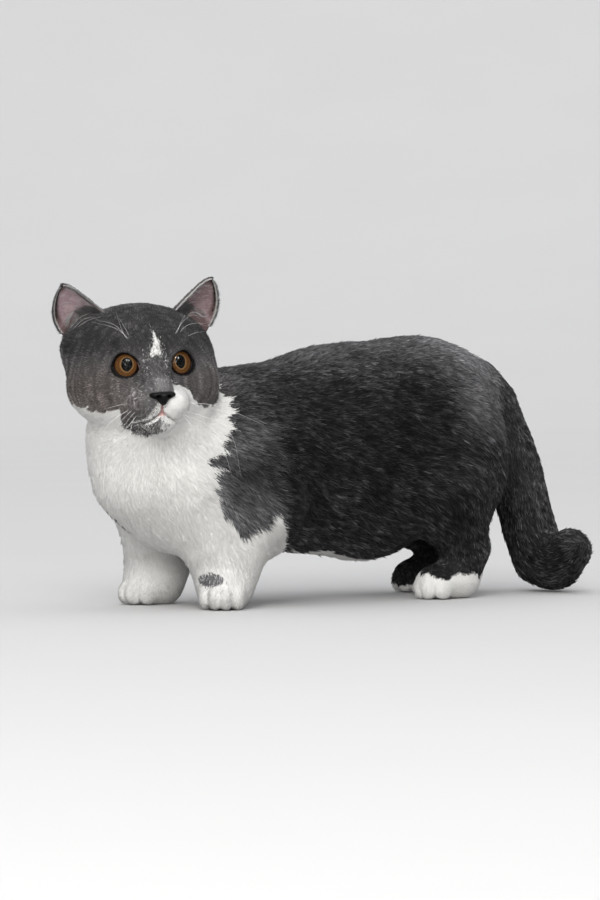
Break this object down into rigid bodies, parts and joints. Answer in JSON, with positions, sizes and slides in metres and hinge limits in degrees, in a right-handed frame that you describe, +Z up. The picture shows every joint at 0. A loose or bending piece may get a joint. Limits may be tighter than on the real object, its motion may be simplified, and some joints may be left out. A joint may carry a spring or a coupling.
{
  "type": "munchkin cat, still life-size model",
  "caption": "Life-size still model of a young short-legged grey and white cat, standing on its paws and laid-down tail, its head turned to its left.",
  "frame": {"origin": "on the floor, at the middle of the whole model's box seen from above", "axes": "+X from the chest towards the tail, +Y towards the cat's right side, +Z up"},
  "size_m": [0.3966, 0.1426, 0.2043],
  "materials": {
    "grey_coat": "plush fur",
    "tail_coat": "plush fur",
    "head_coat": "short fur",
    "white_coat": "plush fur",
    "ear_skin": "matte, thinly haired",
    "nose_leather": "moist satin",
    "eye_glass": "wet gloss"
  },
  "bodies": {
    "root": {"neck": "grey_coat", "chest": "grey_coat", "belly": "grey_coat", "rump": "grey_coat", "thigh_left": "grey_coat", "thigh_right": "grey_coat", "shank_left": "grey_coat", "shank_right": "grey_coat", "tail_root": "tail_coat", "tail_middle": "tail_coat", "tail_tip": "tail_coat", "head": "head_coat", "foreleg_left": "white_coat", "forepaw_left": "white_coat", "foreleg_right": "white_coat", "forepaw_right": "white_coat", "hindpaw_left": "white_coat", "hindpaw_right": "white_coat", "ear_left": "ear_skin", "ear_right": "ear_skin", "nose": "nose_leather", "eye_left": "eye_glass", "eye_right": "eye_glass"}
  },
  "joints": []
}
